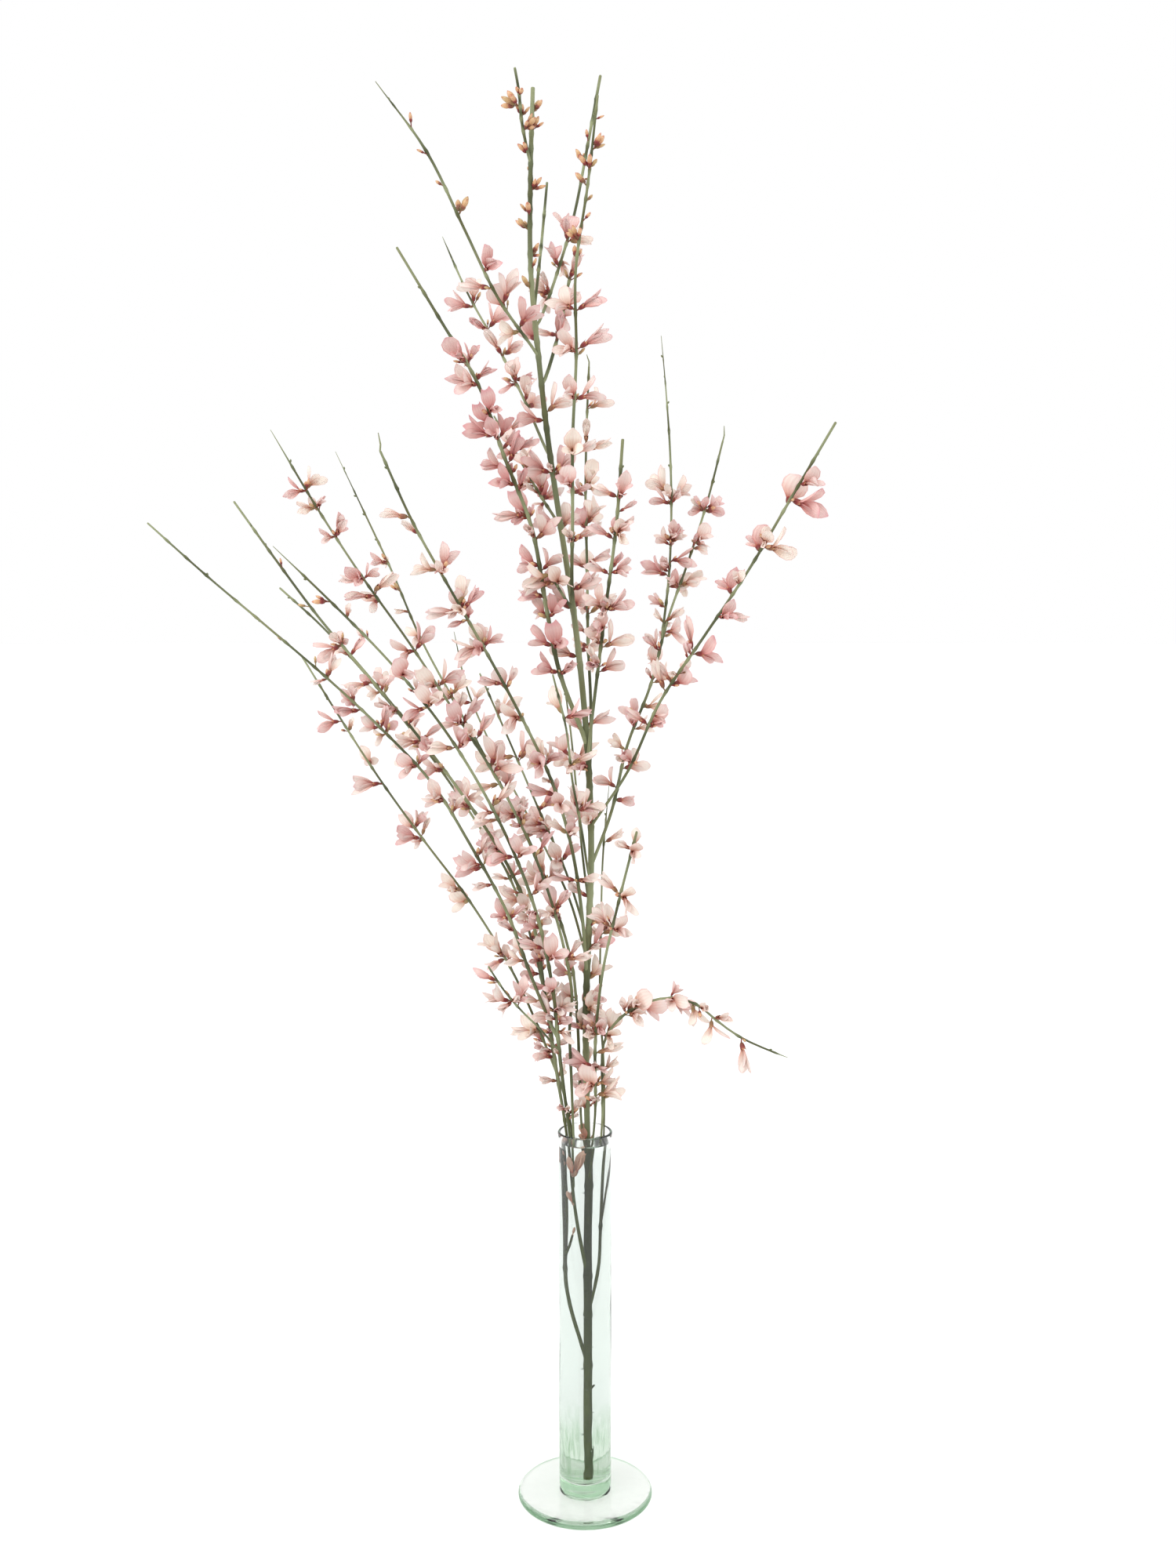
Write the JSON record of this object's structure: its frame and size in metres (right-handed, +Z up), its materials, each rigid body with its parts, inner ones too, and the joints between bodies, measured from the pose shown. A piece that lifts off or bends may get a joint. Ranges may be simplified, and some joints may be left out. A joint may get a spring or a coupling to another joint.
{
  "type": "flowering broom stem in a glass bottle vase",
  "caption": "Cut branch of pink flowering broom, with thin green side branches, small pea flowers and buds, standing in water in a narrow glass tube vase on a disc foot.",
  "frame": {"origin": "centre of the flat underside of the vase's foot", "axes": "+Z up along the vase's tube; +Y away from the viewer of the picture, +X to the picture's right"},
  "size_m": [0.327, 0.2012, 0.7492],
  "materials": {
    "glass": "clear pale green recycled glass, fire polished",
    "water": "clear and still",
    "stem": "living green bark, finely ridged, satin",
    "petal": "soft pale pink petals with fine darker veins"
  },
  "bodies": {
    "root": {"glass_vase": "glass", "water": "water", "main_stem": "stem", "left_fork_spray": "petal", "left_back_fork_spray": "petal", "left_front_fork_spray": "petal", "tall_left_front_spray": "petal", "tall_left_back_spray": "petal", "middle_left_spray": "petal", "thin_back_spray": "petal", "inner_left_spray": "petal", "inner_back_spray": "petal", "inner_front_spray": "petal", "back_right_spray": "petal", "front_right_spray": "petal", "upper_back_spray": "petal", "upper_right_spray": "petal", "dense_left_spray": "petal", "crown_front_spray": "petal", "short_left_spray": "petal", "upper_left_spray": "petal", "crown_left_spray": "petal", "crown_back_spray": "petal", "low_right_spray": "petal", "arching_spray": "petal", "thin_right_spray": "petal"}
  },
  "joints": []
}
